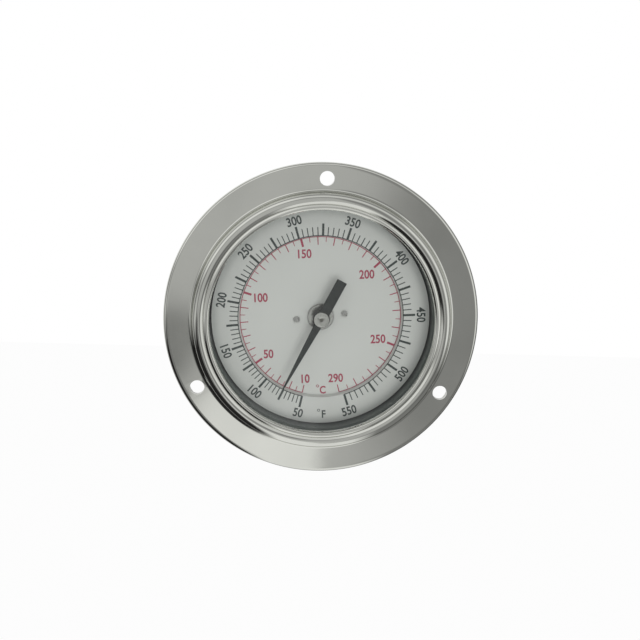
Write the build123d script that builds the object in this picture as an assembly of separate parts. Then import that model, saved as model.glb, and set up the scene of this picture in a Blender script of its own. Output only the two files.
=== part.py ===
from build123d import *
import math
import os

# Dial thermometer with a bimetal stem, for mounting in a panel. Sizes are in millimetres.
# The dial faces -Y, the stem runs along +Y and +Z is up on the dial. The plane y = 0 is
# where the back of the flange meets the panel. Angles are clockwise from up, as seen
# by someone reading the dial.

# Dial plate
dial_dia = 66.8
dial_sheet = 0.4
dial_hole_dia = 8.3
dial_step_dia = 50.1
dial_step_width = 0.3
dial_step_rise = 2.1
dial_turn = -3.75
dial_depth = 6.1

# Case cup
dial_side_gap = 0.6
case_sheet = 1.0
case_depth = 11.0
case_foot_inside_r = 0.5
case_back_inside_r = 2.0
case_edge_gap = 0.125

# Glass and its gasket
glass_thick = 2.3
glass_arris = 0.25
glass_lap = 3.2
glass_side_gap = 0.9
gasket_thick = 0.8

# Flanged bezel, rolled over the edge of the case
bezel_sheet = 0.7
flange_width = 8.825
hem_lap = 1.425
crest_over_glass = 1.8
crest_width = 2.15
crest_fall = 0.15
wall_draft = 0.3
lip_cover = 0.15
lip_drop = 0.45
bead_drop = 0.4
bead_width = 0.8
groove_from_lip = 1.4
groove_depth = 0.9
foot_inside_r = 1.2
crest_inside_r = 1.25
crest_edge_inside_r = 0.65
groove_inside_r = 0.1
bead_inside_r = 0.07

# Screw holes in the flange
hole_count = 3
hole_dia = 4.4
hole_inset = 4.775

# Stem head, which carries the dial and clamps to the back of the case
boss_dia = 19.0
neck_dia = 12.7
neck_length = 8.0
neck_chamfer = 0.8
neck_gap = 0.05
thread_pitch = 1.27
thread_depth = 0.55
head_gasket_thick = 0.6
socket_depth = 6.0

# The tube's end, turned down to go into the head, with a little left bare for the braze
stem_end_turned = 0.2
stem_end_bare = 0.5

# Locknut and tooth washer
nut_flats = 19.05
nut_thick = 5.0
nut_corner_cut = 0.9
washer_thick = 0.8
washer_rim = 1.9
washer_tooth_count = 12
washer_tooth_length = 1.5
washer_tooth_width = 2.4

# Stem
stem_dia = 6.35
stem_wall = 0.5
stem_length = 63.5
tip_thick = 1.6
tip_round_r = 1.4
plug_length = 4.0

# Front bearing
bearing_flange_dia = 7.6
bearing_flange_thick = 0.8
bearing_rim = 0.7
bearing_rim_height = 0.35
bearing_barrel_dia = 5.0
bearing_length = 6.0
running_gap = 0.03

# Pointer
shaft_dia = 1.2
pointer_gap = 2.2
blade_thick = 0.4
blade_eye_dia = 5.2
arm_length = 24.9
arm_root_width = 2.6
arm_tip_width = 0.45
tail_length = 13.3
tail_width = 3.2
hub_dia = 4.65
hub_thick = 1.0
hub_edge_r = 0.25
hub_spigot_dia = 3.0
hub_spigot_length = 1.2
shaft_recess = 0.15
rest_reading = 77.0

# Scale printed on the dial, in degrees Fahrenheit
scale_low = 50.0
scale_high = 550.0
scale_half_sweep = 165.0
scale_bow = 13.6

# Screws that hold the dial to the stem head
dial_screw_spacing = 14.9
dial_screw_turn = -8.5
dial_screw_slot_turns = (25, 70)
dial_screw_head_dia = 1.9
dial_screw_head_thick = 0.7
dial_screw_slot_width = 0.35
dial_screw_slot_depth = 0.35
dial_screw_dia = 1.2
dial_screw_length = 3.0
dial_screw_gap = 0.1
thread_gap = 0.02

# Bimetal helix, its anchor in the tip and its collar on the shaft
helix_dia = 4.0
helix_strip_thick = 0.3
helix_strip_width = 2.1
helix_pitch = 2.6
helix_turns = 15
helix_fit = 0.02
collar_length = 4.0
collar_lead = 1.8
collar_gap = 0.05
anchor_length = 4.5
anchor_base_thick = 2.0
shaft_past_collar = 0.6

# Guide for the shaft inside the stem
guide_before_collar = 5.0
guide_thick = 2.5

# Heights along Y, from the panel plane towards the reader (negative)
case_front_y = -bezel_sheet - case_sheet
flange_front_y = case_front_y - bezel_sheet
glass_back_y = case_front_y - gasket_thick
glass_front_y = glass_back_y - glass_thick
crest_y = glass_front_y - crest_over_glass

# Heights along Y, towards the back (positive)
case_floor_y = case_depth - case_sheet
boss_back_y = case_floor_y - head_gasket_thick
boss_front_y = dial_depth
dial_front_y = boss_front_y - dial_sheet
neck_end_y = case_depth + neck_length
tip_y = neck_end_y + stem_length
tube_end_y = tip_y - tip_thick
socket_y = neck_end_y - socket_depth
plug_y = tube_end_y - plug_length
anchor_y = plug_y - anchor_base_thick
helix_end_y = anchor_y - helix_strip_width
helix_start_y = helix_end_y - helix_pitch * helix_turns
collar_y = helix_start_y - collar_lead

# Radii
dial_r = dial_dia / 2
case_inner_r = dial_r + dial_side_gap
case_wall_r = case_inner_r + case_sheet / 2
glass_r = case_inner_r + glass_lap
bezel_r = glass_r + glass_side_gap + bezel_sheet
flange_r = bezel_r + flange_width
hole_circle_r = flange_r - hole_inset
opening_r = case_inner_r - lip_cover
shaft_r = shaft_dia / 2
neck_r = neck_dia / 2
stem_r = stem_dia / 2
stem_bore_r = stem_r - stem_wall
stem_end_r = stem_r - stem_end_turned
helix_inner_r = helix_dia / 2 - helix_strip_thick / 2

# Pointer heights
rim_top_y = boss_front_y - bearing_flange_thick - bearing_rim_height
blade_back_y = dial_front_y - dial_step_rise - pointer_gap
blade_front_y = blade_back_y - blade_thick
hub_front_y = blade_front_y - hub_thick


def scale_angle(reading):
    """Angle of a reading on the scale, which opens out towards the hot end."""
    middle = (scale_low + scale_high) / 2
    share = (reading - middle) / (scale_high - middle)
    return dial_turn + scale_half_sweep * share + scale_bow * (share**2 - 1)


def rod(radius, y_from, y_to, x=0.0, z=0.0):
    """Round bar along Y."""
    middle = Pos(x, (y_from + y_to) / 2, z)
    return middle * Rot(90, 0, 0) * Cylinder(radius, abs(y_to - y_from))


def turned(*corners):
    """Solid turned about the stem's axis from (radius, y) corners."""
    return revolve(make_face(Polyline(*corners, close=True)), Axis.Y)


def ring(inner_r, outer_r, y_from, y_to):
    """Flat ring about the stem's axis."""
    return turned((inner_r, y_from), (outer_r, y_from), (outer_r, y_to), (inner_r, y_to))


def spun_sheet(line, sheet):
    """Sheet of one thickness turned about the stem's axis from its centre-line."""
    return revolve(trace(line, sheet), Axis.Y)


def around(radius, angle):
    """X and Z of a point at a clock angle about the stem's axis."""
    turn = math.radians(angle)
    return radius * math.sin(turn), radius * math.cos(turn)


def flange_holes(y_from, y_to):
    """Bars that cut the screw holes, the first of them at the top."""
    bars = []
    for index in range(hole_count):
        x, z = around(hole_circle_r, index * 360 / hole_count)
        bars.append(rod(hole_dia / 2, y_from, y_to, x, z))
    return bars


def make_flanged_bezel():
    half = bezel_sheet / 2
    hem_turn_r = (case_sheet + bezel_sheet) / 2
    hem_r = flange_r - bezel_sheet - case_sheet / 2
    face_y = flange_front_y + half
    top_y = crest_y + half
    wall_r = bezel_r - half
    lip_r = opening_r + half
    inside_radii = (
        foot_inside_r,
        crest_inside_r,
        crest_edge_inside_r,
        groove_inside_r,
        bead_inside_r,
        bead_inside_r,
    )
    hem_back = Line((hem_r - hem_lap, -half), (hem_r, -half))
    hem_turn = JernArc(hem_back @ 1, (1, 0), hem_turn_r, -180)
    front = FilletPolyline(
        hem_turn @ 1,
        (wall_r + wall_draft, face_y),
        (wall_r, top_y),
        (wall_r - crest_width, top_y + crest_fall),
        (lip_r + groove_from_lip, top_y + groove_depth),
        (lip_r + bead_width, top_y + bead_drop),
        (lip_r, top_y + lip_drop),
        (lip_r, glass_front_y),
        radius=[half + inside_r for inside_r in inside_radii],
    )
    return spun_sheet(hem_back + hem_turn + front, bezel_sheet) - flange_holes(0, crest_y)


def make_case_cup():
    half = case_sheet / 2
    edge_r = flange_r - bezel_sheet - case_sheet / 2 - case_edge_gap
    cup_line = FilletPolyline(
        (edge_r, case_front_y + half),
        (case_wall_r, case_front_y + half),
        (case_wall_r, case_depth - half),
        (neck_r + neck_gap, case_depth - half),
        radius=[case_foot_inside_r + half, case_back_inside_r + half],
    )
    return spun_sheet(cup_line, case_sheet) - flange_holes(0, crest_y)


def make_glass():
    pane = rod(glass_r, glass_back_y, glass_front_y)
    return chamfer(pane.edges().filter_by(GeomType.CIRCLE), glass_arris)


def make_glass_gasket():
    flat_from_r = case_inner_r + case_sheet + case_foot_inside_r
    return ring(flat_from_r, glass_r, glass_back_y, case_front_y)


def dial_screw_places():
    spots = []
    for side in (90, -90):
        spots.append(around(dial_screw_spacing / 2, dial_screw_turn + side))
    return spots


def make_dial():
    hole_r = dial_hole_dia / 2
    floor_r = (dial_step_dia - dial_step_width) / 2
    shelf_r = (dial_step_dia + dial_step_width) / 2
    shelf_y = dial_front_y - dial_step_rise
    plate = turned(
        (hole_r, dial_front_y),
        (floor_r, dial_front_y),
        (shelf_r, shelf_y),
        (dial_r, shelf_y),
        (dial_r, shelf_y + dial_sheet),
        (shelf_r + dial_sheet, shelf_y + dial_sheet),
        (floor_r + dial_sheet, boss_front_y),
        (hole_r, boss_front_y),
    )
    for x, z in dial_screw_places():
        plate -= rod(dial_screw_dia / 2 + dial_screw_gap, dial_front_y, boss_front_y, x, z)
    return plate


def make_dial_screws():
    head_front_y = dial_front_y - dial_screw_head_thick
    shank_end_y = dial_front_y + dial_screw_length
    screws = []
    for (x, z), slot_turn in zip(dial_screw_places(), dial_screw_slot_turns):
        head = rod(dial_screw_head_dia / 2, head_front_y, dial_front_y, x, z)
        slot_middle = Pos(x, head_front_y + dial_screw_slot_depth / 2, z)
        slot = Box(dial_screw_head_dia, dial_screw_slot_depth, dial_screw_slot_width)
        shank = rod(dial_screw_dia / 2, dial_front_y, shank_end_y, x, z)
        screws.append(head - slot_middle * Rot(0, slot_turn, 0) * slot + shank)
    return screws


def neck_thread():
    """Corners of the thread on the neck, drawn as rings, from the case to the end."""
    corners = []
    crest = case_depth + washer_thick
    while crest + thread_pitch < neck_end_y - neck_chamfer:
        corners.append((neck_r, crest))
        corners.append((neck_r - thread_depth, crest + thread_pitch / 2))
        crest += thread_pitch
    corners.append((neck_r, crest))
    return corners


def make_stem_head():
    bore_r = bearing_barrel_dia / 2
    head = turned(
        (bore_r, boss_front_y),
        (boss_dia / 2, boss_front_y),
        (boss_dia / 2, boss_back_y),
        (neck_r, boss_back_y),
        *neck_thread(),
        (neck_r, neck_end_y - neck_chamfer),
        (neck_r - neck_chamfer, neck_end_y),
        (stem_end_r, neck_end_y),
        (stem_end_r, socket_y),
        (bore_r, socket_y),
    )
    for x, z in dial_screw_places():
        hole_end_y = dial_front_y + dial_screw_length + dial_screw_gap
        head -= rod(dial_screw_dia / 2 + thread_gap, boss_front_y, hole_end_y, x, z)
    return head


def make_head_gasket():
    return ring(neck_r + neck_gap, boss_dia / 2, boss_back_y, case_floor_y)


def make_lock_washer():
    rim_r = neck_r + neck_gap + washer_rim
    back_y = case_depth + washer_thick
    washer = ring(neck_r + neck_gap, rim_r, case_depth, back_y)
    reach = washer_tooth_length + washer_rim / 2
    for index in range(washer_tooth_count):
        x, z = around(rim_r + washer_tooth_length - reach / 2, index * 360 / washer_tooth_count)
        middle = Pos(x, (case_depth + back_y) / 2, z)
        turn = Rot(0, index * 360 / washer_tooth_count, 0)
        washer += middle * turn * Box(washer_tooth_width, washer_thick, reach)
    return washer


def make_locknut():
    front_y = case_depth + washer_thick
    back_y = front_y + nut_thick
    corner_r = nut_flats / math.sqrt(3)
    middle = Pos(0, back_y, 0) * Rot(90, 0, 0)
    hexagon = extrude(middle * RegularPolygon(corner_r, 6), nut_thick)
    blank = turned(
        (neck_r + neck_gap, front_y),
        (corner_r, front_y),
        (corner_r, back_y - nut_corner_cut),
        (corner_r - 2 * nut_corner_cut, back_y),
        (neck_r + neck_gap, back_y),
    )
    return hexagon & blank


def make_stem_tube():
    shoulder_y = neck_end_y + stem_end_bare
    return turned(
        (stem_bore_r, socket_y),
        (stem_end_r, socket_y),
        (stem_end_r, shoulder_y),
        (stem_r, shoulder_y),
        (stem_r, tube_end_y),
        (stem_bore_r, tube_end_y),
    )


def make_stem_tip_plug():
    cap = rod(stem_r, tube_end_y, tip_y)
    end_edge = cap.edges().filter_by(GeomType.CIRCLE).sort_by(Axis.Y)[-1]
    return fillet(end_edge, tip_round_r) + rod(stem_bore_r, plug_y, tube_end_y)


def make_shaft_bearing():
    flange_front = boss_front_y - bearing_flange_thick
    rim_r = bearing_flange_dia / 2
    bore_r = shaft_r + running_gap
    barrel_r = bearing_barrel_dia / 2
    barrel_end_y = boss_front_y + bearing_length
    return turned(
        (bore_r, flange_front),
        (rim_r - bearing_rim, flange_front),
        (rim_r - bearing_rim, rim_top_y),
        (rim_r, rim_top_y),
        (rim_r, boss_front_y),
        (barrel_r, boss_front_y),
        (barrel_r, barrel_end_y),
        (bore_r, barrel_end_y),
    )


def make_shaft_guide():
    guide_end_y = collar_y - guide_before_collar
    return ring(shaft_r + running_gap, stem_bore_r, guide_end_y - guide_thick, guide_end_y)


def make_pointer_shaft():
    end_y = collar_y + collar_length + shaft_past_collar
    return rod(shaft_r, hub_front_y + shaft_recess, end_y)


def make_pointer_hub():
    spigot_r = hub_spigot_dia / 2
    spigot_end_y = blade_front_y + hub_spigot_length
    disc = ring(shaft_r, hub_dia / 2, hub_front_y, blade_front_y)
    outer_edges = disc.edges().filter_by(GeomType.CIRCLE).group_by(SortBy.RADIUS)[-1]
    front_edge = outer_edges.sort_by(Axis.Y)[0]
    return fillet(front_edge, hub_edge_r) + ring(shaft_r, spigot_r, blade_front_y, spigot_end_y)


def make_pointer_blade():
    arm = make_face(
        Polyline(
            (-arm_root_width / 2, 0),
            (-arm_tip_width / 2, arm_length),
            (arm_tip_width / 2, arm_length),
            (arm_root_width / 2, 0),
            close=True,
        )
    )
    tail = Pos(0, -tail_length / 2) * Rectangle(tail_width, tail_length)
    eye = Circle(blade_eye_dia / 2)
    outline = arm + tail + eye - Circle(hub_spigot_dia / 2)
    blade = extrude(outline, blade_thick)
    upright = Pos(0, blade_back_y, 0) * Rot(90, 0, 0) * blade
    return Rot(0, scale_angle(rest_reading), 0) * upright


def make_helix_collar():
    return ring(shaft_r, helix_inner_r - collar_gap, collar_y, collar_y + collar_length)


def make_helix_anchor():
    post = rod(helix_inner_r - helix_fit, anchor_y - anchor_length, anchor_y)
    return post + rod(stem_bore_r, anchor_y, plug_y)


def make_bimetal_helix():
    coil = Helix(
        helix_pitch,
        helix_end_y - helix_start_y,
        helix_dia / 2,
        center=(0, helix_start_y, 0),
        direction=(0, 1, 0),
    )
    section_at = Plane(origin=coil @ 0, x_dir=(0, 1, 0), z_dir=coil % 0)
    strip = section_at * Rectangle(helix_strip_width, helix_strip_thick)
    return sweep(strip, path=coil, is_frenet=True)


MAKERS = {
    "flanged_bezel": make_flanged_bezel,
    "case_cup": make_case_cup,
    "glass": make_glass,
    "glass_gasket": make_glass_gasket,
    "dial": make_dial,
    "dial_screws": make_dial_screws,
    "stem_head": make_stem_head,
    "head_gasket": make_head_gasket,
    "lock_washer": make_lock_washer,
    "locknut": make_locknut,
    "stem_tube": make_stem_tube,
    "stem_tip_plug": make_stem_tip_plug,
    "shaft_bearing": make_shaft_bearing,
    "shaft_guide": make_shaft_guide,
    "pointer_shaft": make_pointer_shaft,
    "pointer_hub": make_pointer_hub,
    "pointer_blade": make_pointer_blade,
    "helix_collar": make_helix_collar,
    "helix_anchor": make_helix_anchor,
    "bimetal_helix": make_bimetal_helix,
}

os.makedirs("parts", exist_ok=True)
for node, maker in MAKERS.items():
    made = maker()
    if isinstance(made, list):
        made = Compound(children=made)
    export_step(made, f"parts/{node}.step")
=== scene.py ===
import math

import bpy
from mathutils import Matrix, Vector


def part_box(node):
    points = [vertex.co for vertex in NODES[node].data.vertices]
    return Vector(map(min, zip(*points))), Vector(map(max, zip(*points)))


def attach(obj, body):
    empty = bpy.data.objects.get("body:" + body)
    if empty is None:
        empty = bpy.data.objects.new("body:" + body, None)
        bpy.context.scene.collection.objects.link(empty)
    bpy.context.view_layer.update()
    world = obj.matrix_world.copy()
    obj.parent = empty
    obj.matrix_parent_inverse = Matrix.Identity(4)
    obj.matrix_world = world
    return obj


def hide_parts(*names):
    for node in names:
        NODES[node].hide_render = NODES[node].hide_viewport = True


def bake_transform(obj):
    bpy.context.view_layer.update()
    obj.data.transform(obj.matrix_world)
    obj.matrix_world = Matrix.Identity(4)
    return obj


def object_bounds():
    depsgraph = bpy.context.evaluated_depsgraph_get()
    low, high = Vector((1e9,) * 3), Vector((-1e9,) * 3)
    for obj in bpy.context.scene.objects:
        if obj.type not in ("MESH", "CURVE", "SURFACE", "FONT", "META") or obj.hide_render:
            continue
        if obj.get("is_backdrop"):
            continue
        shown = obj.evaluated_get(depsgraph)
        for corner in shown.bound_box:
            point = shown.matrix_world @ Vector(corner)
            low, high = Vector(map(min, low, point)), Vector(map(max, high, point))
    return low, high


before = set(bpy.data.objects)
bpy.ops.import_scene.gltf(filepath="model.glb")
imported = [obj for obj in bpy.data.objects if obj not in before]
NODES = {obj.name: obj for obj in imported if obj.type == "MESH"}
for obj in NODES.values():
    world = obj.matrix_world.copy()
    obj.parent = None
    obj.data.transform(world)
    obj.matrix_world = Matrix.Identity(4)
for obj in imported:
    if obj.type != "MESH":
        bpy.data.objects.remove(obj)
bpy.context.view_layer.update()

# ---------------------------------------------------------------- sizes, in metres
MM = 0.001
LIFT = 0.02 * MM
INK = 0.012 * MM

# The dial's outer shelf carries one scale, and its sunk middle the other
dial_low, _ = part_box("dial")
SHELF_Y = dial_low.y
DIAL_STEP = 2.1 * MM
SUNK_Y = SHELF_Y + DIAL_STEP
# Painted shade on the dial's enamel: darker between these radii, by this share at the rim
PAINTED_SHADE_RIM = (30.5 * MM, 33.4 * MM)
PAINTED_SHADE_RIM_SHARE = 0.5

CASE_WALL_R = 34.5 * MM
CASE_FLOOR_Y = 10.5 * MM
GLASS_IOR = 1.42

# The bezel's section is taken at a clock angle that clears its screw holes
SECTION_CLOCK = 60
BEZEL_STEPS = 240
HOLE_COUNT = 3
HOLE_R = 2.2 * MM
HOLE_CIRCLE_R = 42.85 * MM
HOLE_CUTTER_LENGTH = 8 * MM

# The scales' readings, and what places them by clock angle in degrees
SCALE_LOW = 50
SCALE_MIDDLE = 300
SCALE_HIGH = 550
CELSIUS_LOW = 10
CELSIUS_HIGH = 290
DIAL_TURN = -3.75
HALF_SWEEP = 165.0
BOW = 13.6


def scale_angle(fahrenheit):
    """The clock angle of a reading. The scale opens a little towards its high end."""
    share = (fahrenheit - SCALE_MIDDLE) / (SCALE_HIGH - SCALE_MIDDLE)
    return DIAL_TURN + HALF_SWEEP * share + BOW * (share**2 - 1)


def from_celsius(celsius):
    return 32 + 1.8 * celsius


def on_dial(radius, clock, y):
    """A place at a radius and a clock angle in degrees, at depth y."""
    turn = math.radians(clock)
    return Vector((radius * math.sin(turn), y, radius * math.cos(turn)))


# ---------------------------------------------------------------- modelling helpers
def deselect_all():
    bpy.ops.object.select_all(action="DESELECT")


def only(obj):
    deselect_all()
    obj.select_set(True)
    bpy.context.view_layer.objects.active = obj


def settle(obj, name):
    """Names a finished object and moves its place into its mesh."""
    only(obj)
    bpy.ops.object.transform_apply(location=True, rotation=True, scale=True)
    obj.name = name
    obj.data.name = name
    return obj


def joined(objects, name):
    deselect_all()
    for obj in objects:
        obj.select_set(True)
    bpy.context.view_layer.objects.active = objects[0]
    bpy.ops.object.join()
    return settle(bpy.context.view_layer.objects.active, name)


def finish_piece(obj, body, material):
    obj.data.materials.clear()
    obj.data.materials.append(material)
    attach(obj, body)
    return obj


# ---------------------------------------------------------------- shader helper
class Value:
    """A shader socket that can be used in Python sums."""

    def __init__(self, tree, socket):
        self.tree = tree
        self.socket = socket

    def _maths(self, operation, *operands):
        node = self.tree.nodes.new("ShaderNodeMath")
        node.operation = operation
        for index, operand in enumerate(operands):
            put(self.tree, node.inputs[index], operand)
        return Value(self.tree, node.outputs[0])

    def __add__(self, other):
        return self._maths("ADD", self, other)

    def __radd__(self, other):
        return self._maths("ADD", other, self)

    def __sub__(self, other):
        return self._maths("SUBTRACT", self, other)

    def __rsub__(self, other):
        return self._maths("SUBTRACT", other, self)

    def __mul__(self, other):
        return self._maths("MULTIPLY", self, other)

    def __rmul__(self, other):
        return self._maths("MULTIPLY", other, self)

    def __truediv__(self, other):
        return self._maths("DIVIDE", self, other)

    def __pow__(self, other):
        return self._maths("POWER", self, other)

    def __lt__(self, other):
        return self._maths("LESS_THAN", self, other)

    def __gt__(self, other):
        return self._maths("GREATER_THAN", self, other)

    def kept_in(self, low, high):
        """The value, held between low and high."""
        return self._maths("MAXIMUM", self._maths("MINIMUM", self, high), low)

    def clock(self, other):
        """Angle of (self, other) in radians, clockwise from other."""
        return self._maths("ARCTAN2", self, other)

    def length_with(self, other):
        return (self * self + other * other) ** 0.5

    def band(self, low, high, soft=0.0):
        """One between low and high, with soft edges where soft is given."""
        if soft:
            return self.ramp(low - soft, low + soft) * (1 - self.ramp(high - soft, high + soft))
        return (self > low) * (self < high)

    def ramp(self, low, high, to_low=0.0, to_high=1.0):
        node = self.tree.nodes.new("ShaderNodeMapRange")
        node.interpolation_type = "SMOOTHSTEP"
        put(self.tree, node.inputs["Value"], self)
        for name, value in (
            ("From Min", low),
            ("From Max", high),
            ("To Min", to_low),
            ("To Max", to_high),
        ):
            node.inputs[name].default_value = value
        return Value(self.tree, node.outputs[0])


def put(tree, socket, value):
    """Sets a socket to a number or colour, or links it to another socket."""
    if isinstance(value, Value):
        tree.links.new(value.socket, socket)
    elif isinstance(value, bpy.types.NodeSocket):
        tree.links.new(value, socket)
    elif isinstance(value, (tuple, list)) and len(value) == 3 and socket.type == "RGBA":
        socket.default_value = (*value, 1.0)
    else:
        socket.default_value = value


class Shader:
    """A material or world tree with one method that makes any node."""

    def __init__(self, tree):
        self.tree = tree
        self.tree.nodes.clear()

    def node(self, kind, settings=None, inputs=None, output=0):
        node = self.tree.nodes.new("ShaderNode" + kind)
        for name, value in (settings or {}).items():
            if name == "stops":
                ramp = node.color_ramp
                while len(ramp.elements) < len(value):
                    ramp.elements.new(0.5)
                for element, (place, colour) in zip(ramp.elements, value):
                    element.position = place
                    element.color = (*colour, 1.0)
            else:
                setattr(node, name, value)
        for name, value in (inputs or {}).items():
            put(self.tree, node.inputs[name], value)
        return Value(self.tree, node.outputs[output])

    def place(self):
        return self.node("TexCoord", output=3)

    def xyz(self, vector):
        node = self.tree.nodes.new("ShaderNodeSeparateXYZ")
        put(self.tree, node.inputs[0], vector)
        return [Value(self.tree, socket) for socket in node.outputs]

    def vector(self, x, y, z):
        return self.node("CombineXYZ", inputs={"X": x, "Y": y, "Z": z})

    def noise(self, vector, scale, detail=3.0, roughness=0.5):
        values = {"Vector": vector, "Scale": scale, "Detail": detail, "Roughness": roughness}
        return self.node("TexNoise", inputs=values)

    def mix(self, factor, first, second):
        node = self.tree.nodes.new("ShaderNodeMix")
        node.data_type = "RGBA"
        put(self.tree, node.inputs["Factor"], factor)
        put(self.tree, node.inputs[6], first)
        put(self.tree, node.inputs[7], second)
        return Value(self.tree, node.outputs[2])

    def bump(self, height, distance, strength=1.0):
        values = {"Height": height, "Distance": distance, "Strength": strength}
        return self.node("Bump", inputs=values)


def material(name, build):
    made = bpy.data.materials.new(name)
    made.use_nodes = True
    shader = Shader(made.node_tree)
    surface = build(shader)
    output = made.node_tree.nodes.new("ShaderNodeOutputMaterial")
    put(made.node_tree, output.inputs["Surface"], surface)
    return made


# ---------------------------------------------------------------- materials
def turned_place(shader):
    """Object place as radius, y and clock angle, for marks that run round the axis."""
    x, y, z = shader.xyz(shader.place())
    radius = x.length_with(z)
    clock = x.clock(z)
    return radius, y, clock


def polished_steel(shader):
    radius, y, clock = turned_place(shader)
    place = shader.place()
    cloud = shader.noise(place, 45, 3)
    rub = shader.noise(shader.vector(radius * 9000, clock * 3, y * 9000), 1.0, 2)
    smudge = shader.noise(place, 160, 4, 0.6).ramp(0.55, 0.75)
    rough = 0.05 + cloud.ramp(0.35, 0.7) * 0.03 + rub * 0.02 + smudge * 0.03
    tint = shader.mix(cloud.ramp(0.3, 0.7), (0.60, 0.607, 0.565), (0.66, 0.667, 0.622))
    normal = shader.bump(rub, 0.0000006, 0.4)
    return shader.node(
        "BsdfPrincipled",
        inputs={"Base Color": tint, "Metallic": 1.0, "Roughness": rough, "Normal": normal},
    )


def satin_steel(shader):
    radius, y, clock = turned_place(shader)
    rub = shader.noise(shader.vector(radius * 5000, clock * 6, y * 5000), 1.0, 3)
    cloud = shader.noise(shader.place(), 60, 3)
    rough = 0.28 + rub * 0.12 + cloud * 0.08
    tint = shader.mix(cloud, (0.50, 0.50, 0.48), (0.60, 0.60, 0.58))
    normal = shader.bump(rub, 0.000002, 0.5)
    return shader.node(
        "BsdfPrincipled",
        inputs={"Base Color": tint, "Metallic": 1.0, "Roughness": rough, "Normal": normal},
    )


# Painted shade: the shaft's steel is darkened, because its end sits in shade in its recess in the
# hub
def oiled_steel(shader):
    cloud = shader.noise(shader.place(), 900, 2)
    tint = shader.mix(cloud, (0.16, 0.16, 0.14), (0.24, 0.24, 0.21))
    return shader.node(
        "BsdfPrincipled", inputs={"Base Color": tint, "Metallic": 1.0, "Roughness": 0.35}
    )


def case_steel(shader):
    """Satin steel outside, with painted shade inside: a dark, non-metal colour for the shaded
    inner wall.
    """
    radius, y, clock = turned_place(shader)
    # Where the painted shade goes: inside the case wall, in front of its floor
    inside = (radius < CASE_WALL_R) * (y < CASE_FLOOR_Y)
    rub = shader.noise(shader.vector(radius * 5000, clock * 6, y * 5000), 1.0, 3)
    cloud = shader.noise(shader.place(), 60, 3)
    steel = shader.mix(cloud, (0.50, 0.50, 0.48), (0.60, 0.60, 0.58))
    # Painted shade: the dark colour of the case's shaded inner wall
    dark = shader.mix(cloud, (0.060, 0.072, 0.066), (0.095, 0.110, 0.102))
    return shader.node(
        "BsdfPrincipled",
        inputs={
            "Base Color": shader.mix(inside, steel, dark),
            "Metallic": 1 - inside,
            "Roughness": 0.28 + rub * 0.12 + cloud * 0.08 + inside * 0.1,
            "Normal": shader.bump(rub, 0.000002, 0.5),
        },
    )


def dial_enamel(shader):
    """Pale enamel with painted shade: a little darker at the rim, where the bezel keeps the light
    off.
    """
    grain = shader.noise(shader.place(), 4200, 2)
    cloud = shader.noise(shader.place(), 60, 2)
    radius, _, _ = turned_place(shader)
    tint = shader.mix(cloud, (0.555, 0.56, 0.54), (0.59, 0.595, 0.575))
    # Painted shade: the enamel colour darkens towards the rim
    painted_rim_shade = radius.ramp(*PAINTED_SHADE_RIM) * PAINTED_SHADE_RIM_SHARE
    tint = shader.mix(painted_rim_shade, tint, (0.30, 0.315, 0.30))
    normal = shader.bump(grain, 0.000006, 0.35)
    return shader.node(
        "BsdfPrincipled",
        inputs={"Base Color": tint, "Roughness": 0.45 + grain * 0.1, "Normal": normal},
    )


def ink(colour):
    def build(shader):
        wear = shader.noise(shader.place(), 2500, 2)
        tint = shader.mix(wear, colour, tuple(1.25 * c for c in colour))
        return shader.node("BsdfPrincipled", inputs={"Base Color": tint, "Roughness": 0.5})

    return build


def matt_black(shader):
    grain = shader.noise(shader.place(), 3500, 3)
    tint = shader.mix(grain, (0.009, 0.012, 0.011), (0.017, 0.022, 0.020))
    normal = shader.bump(grain, 0.000008, 0.5)
    return shader.node(
        "BsdfPrincipled",
        inputs={"Base Color": tint, "Roughness": 0.5 + grain * 0.15, "Normal": normal},
    )


def nickel(shader):
    radius, y, clock = turned_place(shader)
    rub = shader.noise(shader.vector(radius * 8000, clock * 3, y * 8000), 1.0, 3)
    tint = shader.mix(rub, (0.52, 0.525, 0.49), (0.64, 0.645, 0.61))
    normal = shader.bump(rub, 0.0000015, 0.3)
    rough = 0.2 + rub * 0.1
    return shader.node(
        "BsdfPrincipled",
        inputs={"Base Color": tint, "Metallic": 1.0, "Roughness": rough, "Normal": normal},
    )


def rubber(shader):
    grain = shader.noise(shader.place(), 2500, 3)
    tint = shader.mix(grain, (0.012, 0.012, 0.012), (0.03, 0.03, 0.03))
    return shader.node(
        "BsdfPrincipled",
        inputs={"Base Color": tint, "Roughness": 0.7, "Normal": shader.bump(grain, 0.00002, 0.4)},
    )


def turned_brass(shader):
    radius, y, clock = turned_place(shader)
    rub = shader.noise(shader.vector(radius * 6000, clock * 3, y * 6000), 1.0, 3)
    tint = shader.mix(rub, (0.62, 0.45, 0.18), (0.75, 0.58, 0.28))
    rough = 0.28 + rub * 0.1
    return shader.node(
        "BsdfPrincipled", inputs={"Base Color": tint, "Metallic": 1.0, "Roughness": rough}
    )


def window_glass(shader):
    """Clear glass, which lets shadow and diffuse rays straight through."""
    rays = shader.tree.nodes.new("ShaderNodeLightPath")
    clear = shader.node("BsdfTransparent", inputs={"Color": (0.955, 0.965, 0.957)})
    glass = shader.node(
        "BsdfPrincipled",
        inputs={
            "Base Color": (0.98, 0.99, 0.982),
            "Roughness": 0.0,
            "IOR": GLASS_IOR,
            "Transmission Weight": 1.0,
        },
    )
    passing = Value(shader.tree, rays.outputs["Is Shadow Ray"])
    diffuse = Value(shader.tree, rays.outputs["Is Diffuse Ray"])
    return shader.node("MixShader", inputs={0: passing + diffuse, 1: glass, 2: clear})


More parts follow.
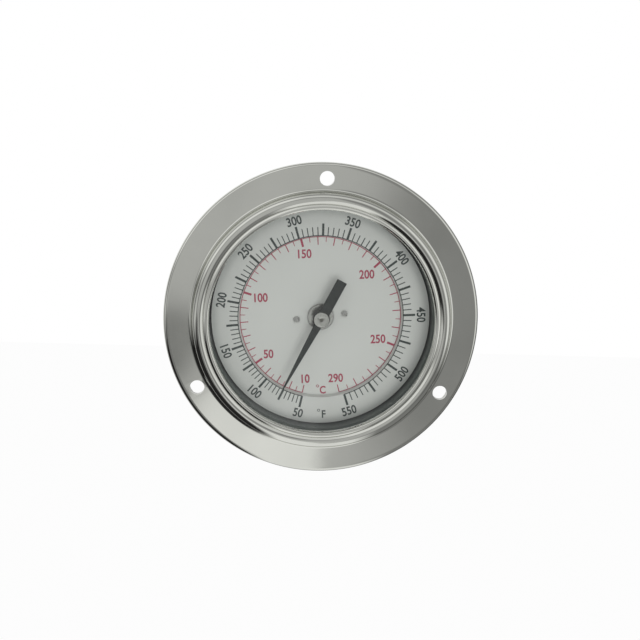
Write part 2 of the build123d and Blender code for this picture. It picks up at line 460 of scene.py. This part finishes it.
polished = material("polished_steel", polished_steel)
satin = material("satin_steel", satin_steel)
case_steel_with_painted_shade = material("case_steel", case_steel)
shaft_in_painted_shade = material("oiled_steel", oiled_steel)
enamel = material("dial_enamel", dial_enamel)
black_ink = material("black_ink", ink((0.03, 0.04, 0.038)))
red_ink = material("red_ink", ink((0.30, 0.035, 0.07)))
pointer_paint = material("matt_black", matt_black)
nickel_plate = material("nickel_plate", nickel)
seal = material("seal_rubber", rubber)
brass = material("turned_brass", turned_brass)
clear_glass = material("window_glass", window_glass)

FINISHES = {
    "flanged_bezel": polished,
    "case_cup": case_steel_with_painted_shade,
    "glass": clear_glass,
    "glass_gasket": seal,
    "dial": enamel,
    "dial_screws": satin,
    "stem_head": satin,
    "head_gasket": seal,
    "lock_washer": satin,
    "locknut": satin,
    "stem_tube": satin,
    "stem_tip_plug": satin,
    "shaft_bearing": nickel_plate,
    "shaft_guide": brass,
    "pointer_shaft": shaft_in_painted_shade,
    "pointer_hub": nickel_plate,
    "pointer_blade": pointer_paint,
    "helix_collar": brass,
    "helix_anchor": brass,
    "bimetal_helix": satin,
}
for node, finish in FINISHES.items():
    NODES[node].data.materials.clear()
    NODES[node].data.materials.append(finish)


# ---------------------------------------------------------------- pieces with softened edges
def merged_copy(node, name):
    """A copy of a CAD node's mesh with its doubled corners joined."""
    original = NODES[node]
    copy = original.copy()
    copy.data = original.data.copy()
    copy.parent = None
    bpy.context.collection.objects.link(copy)
    only(copy)
    bpy.ops.object.mode_set(mode="EDIT")
    bpy.ops.mesh.select_all(action="SELECT")
    bpy.ops.mesh.customdata_custom_splitnormals_clear()
    bpy.ops.mesh.remove_doubles(threshold=0.001 * MM)
    bpy.ops.mesh.dissolve_limited(angle_limit=math.radians(1))
    bpy.ops.mesh.normals_make_consistent(inside=False)
    bpy.ops.object.mode_set(mode="OBJECT")
    return settle(copy, name)


def softened(node, name, width, body):
    """Stands for a CAD node, with its sharp edges rounded by width."""
    piece = merged_copy(node, name)
    bevel = piece.modifiers.new("bevel", "BEVEL")
    bevel.width = width
    bevel.segments = 2
    bevel.limit_method = "ANGLE"
    bevel.angle_limit = math.radians(35)
    only(piece)
    bpy.ops.object.modifier_apply(modifier="bevel")
    bpy.ops.object.shade_smooth_by_angle(angle=math.radians(40))
    finish_piece(piece, body, FINISHES[node])
    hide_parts(node)
    return piece


softened("locknut", "locknut_softened", 0.12 * MM, "housing")
softened("lock_washer", "lock_washer_softened", 0.06 * MM, "housing")
softened("dial_screws", "dial_screws_softened", 0.05 * MM, "housing")
softened("pointer_blade", "pointer_blade_softened", 0.05 * MM, "pointer")
softened("pointer_hub", "pointer_hub_softened", 0.08 * MM, "pointer")


def lathed_bezel():
    """Stands for the bezel: its own section, spun finely enough for mirror-like steel."""
    ring = merged_copy("flanged_bezel", "flanged_bezel_lathed")
    section = math.radians(SECTION_CLOCK)
    outwards = (math.sin(section), 0, math.cos(section))
    across = (math.cos(section), 0, -math.sin(section))
    only(ring)
    bpy.ops.object.mode_set(mode="EDIT")
    bpy.ops.mesh.select_all(action="SELECT")
    bpy.ops.mesh.bisect(plane_co=(0, 0, 0), plane_no=across, clear_inner=True, clear_outer=True)
    bpy.ops.mesh.select_all(action="SELECT")
    bpy.ops.mesh.bisect(plane_co=(0, 0, 0), plane_no=outwards, clear_inner=True)
    bpy.ops.mesh.select_all(action="SELECT")
    bpy.ops.mesh.remove_doubles(threshold=0.004 * MM)
    bpy.ops.mesh.spin(steps=BEZEL_STEPS, angle=math.tau, center=(0, 0, 0), axis=(0, 1, 0))
    bpy.ops.mesh.select_all(action="SELECT")
    bpy.ops.mesh.remove_doubles(threshold=0.002 * MM)
    bpy.ops.mesh.normals_make_consistent(inside=False)
    bpy.ops.object.mode_set(mode="OBJECT")
    for index in range(HOLE_COUNT):
        bpy.ops.mesh.primitive_cylinder_add(
            vertices=64,
            radius=HOLE_R,
            depth=HOLE_CUTTER_LENGTH,
            location=on_dial(HOLE_CIRCLE_R, index * 360 / HOLE_COUNT, 0),
            rotation=(math.radians(90), 0, 0),
        )
        cutter = bpy.context.active_object
        only(ring)
        cut = ring.modifiers.new("hole", "BOOLEAN")
        cut.operation = "DIFFERENCE"
        cut.solver = "EXACT"
        cut.object = cutter
        bpy.ops.object.modifier_apply(modifier="hole")
        bpy.data.objects.remove(cutter)
    bpy.ops.object.shade_smooth_by_angle(angle=math.radians(30))
    flat_first = ring.modifiers.new("flat_first", "WEIGHTED_NORMAL")
    flat_first.keep_sharp = True
    bpy.ops.object.modifier_apply(modifier="flat_first")
    finish_piece(ring, "housing", FINISHES["flanged_bezel"])
    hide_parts("flanged_bezel")


lathed_bezel()

# The real helix twists between its fixed end in the tip and its turning end at the collar; here
# it is a smooth-shaded copy
helix = merged_copy("bimetal_helix", "bimetal_helix_twisting")
bpy.ops.object.shade_smooth_by_angle(angle=math.radians(40))
helix.data.materials.clear()
helix.data.materials.append(FINISHES["bimetal_helix"])
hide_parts("bimetal_helix")
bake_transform(helix)

# ---------------------------------------------------------------- print on the dial
def bar(radius_from, radius_to, width, clock, y):
    """A printed tick: a thin block along a radius."""
    bpy.ops.mesh.primitive_cube_add(size=1)
    tick = bpy.context.active_object
    tick.scale = (width, INK, radius_to - radius_from)
    tick.rotation_euler = (0, math.radians(clock), 0)
    tick.location = on_dial((radius_from + radius_to) / 2, clock, y)
    return tick


def ticks(name, readings, radius_from, radius_to, width, y):
    return joined([bar(radius_from, radius_to, width, scale_angle(r), y) for r in readings], name)


def number(text, height, spread, radius, clock, tilt, y):
    """Printed figures, centred at a clock angle and turned by tilt."""
    bpy.ops.object.text_add()
    words = bpy.context.active_object
    words.data.body = text
    words.data.align_x = "CENTER"
    words.data.align_y = "CENTER"
    words.data.resolution_u = 4
    words.data.offset = 0.024
    words.data.extrude = 0.01
    only(words)
    bpy.ops.object.convert(target="MESH")
    made = bpy.context.active_object
    low = Vector(made.bound_box[0])
    high = Vector(made.bound_box[6])
    middle = (low + high) / 2
    scale = height / (high.y - low.y)
    made.data.transform(Matrix.Translation((-middle.x, -middle.y, -middle.z)))
    made.data.transform(Matrix.Diagonal((scale * spread, scale, INK / 0.02, 1)))
    made.data.transform(Matrix.Rotation(math.radians(90), 4, "X"))
    made.data.transform(Matrix.Rotation(math.radians(tilt), 4, "Y"))
    made.data.transform(Matrix.Translation(on_dial(radius, clock, y)))
    return made


def arc_line(name, radius, width, first, last, y):
    """A printed line along the scale, from one reading to another."""
    start, end = scale_angle(first), scale_angle(last)
    steps = 360
    bpy.ops.mesh.primitive_cube_add(size=1)
    line = bpy.context.active_object
    step = math.radians((end - start) / steps)
    line.scale = (1.02 * radius * step, INK, width)
    line.location = (0, y, radius)
    settle(line, name)
    pieces = []
    for index in range(steps):
        copy = line.copy()
        copy.data = line.data.copy()
        bpy.context.collection.objects.link(copy)
        copy.rotation_euler = (0, math.radians(start) + (index + 0.5) * step, 0)
        pieces.append(copy)
    bpy.data.objects.remove(line)
    return joined(pieces, name)


PRINT_SHELF_Y = SHELF_Y - LIFT
PRINT_SUNK_Y = SUNK_Y - LIFT
FINE_F = [r for r in range(SCALE_LOW, SCALE_HIGH + 1, 5) if r % 25]
BOLD_F = list(range(SCALE_LOW, SCALE_HIGH + 1, 25))
SHORT_C = [from_celsius(c) for c in range(CELSIUS_LOW, CELSIUS_HIGH + 1, 5) if c % 10]
LONG_C = [from_celsius(c) for c in range(CELSIUS_LOW, CELSIUS_HIGH + 1, 10) if c % 50]
BOLD_C = [from_celsius(c) for c in range(50, 251, 50)]
F_ENDS = (SCALE_LOW, SCALE_HIGH)
C_ENDS = (from_celsius(CELSIUS_LOW), from_celsius(CELSIUS_HIGH))

# Radii of the scales' lines and of the far ends of their ticks
F_LINE_R = 25.35 * MM
F_FINE_R = 27.95 * MM
F_BOLD_R = 29.0 * MM
C_LINE_R = 24.75 * MM
C_SHORT_R = 23.2 * MM
C_LONG_R = 22.3 * MM

# Widths of the printed strokes
F_LINE = 0.28 * MM
C_LINE = 0.22 * MM
FINE = 0.3 * MM
BOLD = 0.68 * MM

prints = [
    (arc_line("fahrenheit_line", F_LINE_R, F_LINE, *F_ENDS, PRINT_SHELF_Y), black_ink),
    (arc_line("celsius_line", C_LINE_R, C_LINE, *C_ENDS, PRINT_SUNK_Y), red_ink),
]
for name, readings, reach, width in (
    ("fahrenheit_fine_ticks", FINE_F, F_FINE_R, FINE),
    ("fahrenheit_bold_ticks", BOLD_F, F_BOLD_R, BOLD),
):
    printed = ticks(name, readings, F_LINE_R, reach, width, PRINT_SHELF_Y)
    prints.append((printed, black_ink))
for name, readings, reach, width in (
    ("celsius_short_ticks", SHORT_C, C_SHORT_R, C_LINE),
    ("celsius_long_ticks", LONG_C, C_LONG_R, FINE),
    ("celsius_bold_ticks", BOLD_C, C_LONG_R, BOLD),
):
    printed = ticks(name, readings, reach, C_LINE_R, width, PRINT_SUNK_Y)
    prints.append((printed, red_ink))

FIGURE_HEIGHT = 2.8 * MM
FIGURE_SPREAD = 0.84
FIGURE_HALF_WIDTH = 0.8 * MM
UNIT_HEIGHT = 2.5 * MM
F_FIGURE_R = 30.85 * MM
C_FIGURE_REACH = 22.0 * MM
F_UNIT_R = 30.6 * MM
C_UNIT_R = 23.35 * MM
UPSIDE_DOWN_FROM = 100
f_numbers = []
for reading in range(SCALE_LOW, SCALE_HIGH + 1, 50):
    clock = scale_angle(reading)
    tilt = clock if abs(clock) < UPSIDE_DOWN_FROM else clock + 180
    f_numbers.append(
        number(str(reading), FIGURE_HEIGHT, FIGURE_SPREAD, F_FIGURE_R, clock, tilt, PRINT_SHELF_Y)
    )
prints.append((joined(f_numbers, "fahrenheit_numbers"), black_ink))

c_numbers = []
for celsius in (CELSIUS_LOW, 50, 100, 150, 200, 250, CELSIUS_HIGH):
    clock = scale_angle(from_celsius(celsius))
    turn = math.radians(clock - DIAL_TURN)
    half_width = FIGURE_HALF_WIDTH * len(str(celsius))
    reach = C_FIGURE_REACH - FIGURE_HEIGHT / 2 * abs(math.cos(turn))
    reach -= half_width * abs(math.sin(turn))
    c_numbers.append(
        number(str(celsius), FIGURE_HEIGHT, FIGURE_SPREAD, reach, clock, DIAL_TURN, PRINT_SUNK_Y)
    )
prints.append((joined(c_numbers, "celsius_numbers"), red_ink))


def unit_mark(letter, radius, clock, y, name):
    """A degree ring and its letter, upright on the dial."""
    mark = number(letter, UNIT_HEIGHT, FIGURE_SPREAD, radius, clock, DIAL_TURN, y)
    bpy.ops.mesh.primitive_torus_add(
        major_radius=0.36 * MM, minor_radius=0.09 * MM, major_segments=32, minor_segments=8
    )
    ring = bpy.context.active_object
    ring.rotation_euler = (math.radians(90), 0, 0)
    ring.scale = (1, 1, 0.2)
    letter_place = on_dial(radius, clock, y)
    ring.location = letter_place + Matrix.Rotation(math.radians(DIAL_TURN), 3, "Y") @ Vector(
        (-1.55 * MM, 0, 1.3 * MM)
    )
    return joined([mark, ring], name)


DIAL_FOOT = 180 + DIAL_TURN
prints.append((unit_mark("C", C_UNIT_R, DIAL_FOOT, PRINT_SUNK_Y, "celsius_mark"), red_ink))
prints.append((unit_mark("F", F_UNIT_R, DIAL_FOOT, PRINT_SHELF_Y, "fahrenheit_mark"), black_ink))
for piece, finish in prints:
    finish_piece(piece, "housing", finish)

# ---------------------------------------------------------------- stage
FLOOR_PLACE = (0, 0.2, -0.16)
FLOOR_SIZE = 0.9
FLOOR_SHADOW = 0.05
bpy.ops.mesh.primitive_plane_add(size=FLOOR_SIZE, location=FLOOR_PLACE)
floor = bpy.context.active_object
floor.name = "floor"
# The steel sees the studio's greys instead, so the floor's edge shows in no reflection
floor.visible_glossy = False


def pale_floor(shader):
    """White where it is looked at, with enough paint left to keep the shadow."""
    rays = shader.tree.nodes.new("ShaderNodeLightPath")
    looked_at = Value(shader.tree, rays.outputs["Is Camera Ray"])
    looked_at = looked_at + Value(shader.tree, rays.outputs["Is Transmission Ray"])
    looked_at = looked_at.kept_in(0, 1) * (1 - FLOOR_SHADOW)
    paint = shader.node("BsdfDiffuse", inputs={"Color": (0.8, 0.8, 0.8)})
    white = shader.node("Emission", inputs={"Color": (1, 1, 1), "Strength": 1.0})
    return shader.node("MixShader", inputs={0: looked_at, 1: paint, 2: white})


floor.data.materials.append(material("pale_floor", pale_floor))
floor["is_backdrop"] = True

world = bpy.data.worlds.new("studio")
bpy.context.scene.world = world
world.use_nodes = True
studio = Shader(world.node_tree)
rays = world.node_tree.nodes.new("ShaderNodeLightPath")
camera_ray = Value(world.node_tree, rays.outputs["Is Camera Ray"])
diffuse_ray = Value(world.node_tree, rays.outputs["Is Diffuse Ray"])
x, y, z = studio.xyz(studio.node("TexCoord", output=0))
# The camera sees plain white. Reflections don't: they show a studio of greys, up to that white.
# In front it is grey, darker to the right, with a bright card low down and a dark edge low at
# the left.
front = (0 - y).ramp(0.82, 0.93)
grey = 0.58 - x.ramp(0.08, 0.165) * 0.27
card = (0 - z).ramp(0.258, 0.285) * x.band(-0.058, 0.056, 0.012)
edge = (0 - x).ramp(0.068, 0.076) * (0 - z).ramp(0.17, 0.21)
ahead = grey + card * 0.75 - edge * 0.33
# Round the sides, as share of a turn clockwise from below and grey level: a white floor, a dark
# gap low at the left, brighter at the upper left, cream above, a window at the right, and a
# dark edge low at the right
SIDES = [
    (0.000, 0.95),
    (0.030, 0.95),
    (0.052, 0.02),
    (0.180, 0.02),
    (0.215, 0.62),
    (0.260, 0.42),
    (0.300, 0.85),
    (0.440, 0.85),
    (0.480, 0.66),
    (0.620, 0.62),
    (0.660, 0.95),
    (0.800, 0.90),
    (0.840, 0.20),
    (0.930, 0.22),
    (0.960, 0.95),
    (1.000, 0.95),
]
SIDES_GAIN = 1.25
DIFFUSE_LEVEL = 0.74
turn_share = x.clock(z) / math.tau + 0.5
sides = studio.node(
    "ValToRGB",
    {"stops": [(place, (grey_level,) * 3) for place, grey_level in SIDES]},
    {"Fac": turn_share},
)
low = (0 - z).ramp(0.35, 0.60)
narrow = y.band(-0.74, -0.26, 0.08) * 0.6 + 0.4
sides = sides * SIDES_GAIN * (low + narrow - low * narrow)
# Behind it is brighter above and straight behind
behind = y.ramp(0.05, 0.40)
back_light = 0.50 + z * 0.35 - x * 0.45 + y.ramp(0.55, 0.85) * 0.32
around = sides * (1 - behind) + back_light * behind
seen = (ahead * front + around * (1 - front)).kept_in(0, 1)
reflected = seen * (1 - camera_ray) * (1 - diffuse_ray)
level = camera_ray + diffuse_ray * DIFFUSE_LEVEL + reflected
background = studio.node("Background", inputs={"Color": (1, 1, 1), "Strength": level})
world_output = world.node_tree.nodes.new("ShaderNodeOutputWorld")
put(world.node_tree, world_output.inputs["Surface"], background)


def lamp(name, place, aim, size, power):
    """A soft lamp that lights the piece and shows in no reflection."""
    light = bpy.data.lights.new(name, "AREA")
    light.shape = "RECTANGLE"
    light.size, light.size_y = size
    light.energy = power
    holder = bpy.data.objects.new(name, light)
    bpy.context.collection.objects.link(holder)
    holder.location = place
    holder.rotation_euler = (Vector(aim) - Vector(place)).to_track_quat("-Z", "Y").to_euler()
    holder.visible_glossy = False
    holder.visible_transmission = False


lamp("key_lamp", place=(0.22, -0.85, -0.10), aim=(0, 0, 0), size=(0.5, 0.4), power=2.6)

# ---------------------------------------------------------------- camera
CAMERA_DISTANCE = 0.331
CAMERA_TILT = math.radians(11.95)
CAMERA_CLOCK = math.radians(-16.15)
CAMERA_ROLL = math.radians(-2.15)
AIM = Vector((-0.43, 0, -0.07)) * MM
LENS = 61.32
camera_data = bpy.data.cameras.new("camera")
camera_data.lens = LENS
camera = bpy.data.objects.new("camera", camera_data)
bpy.context.collection.objects.link(camera)
back = Vector(
    (
        math.sin(CAMERA_TILT) * math.sin(CAMERA_CLOCK),
        -math.cos(CAMERA_TILT),
        math.sin(CAMERA_TILT) * math.cos(CAMERA_CLOCK),
    )
)
up_hint = Vector((math.sin(CAMERA_ROLL), 0, math.cos(CAMERA_ROLL)))
right = up_hint.cross(back).normalized()
up = back.cross(right)
turn = Matrix((right, up, back)).transposed().to_4x4()
camera.matrix_world = Matrix.Translation(AIM + back * CAMERA_DISTANCE) @ turn
bpy.context.scene.camera = camera
bpy.context.scene.view_settings.view_transform = "Standard"

low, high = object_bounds()
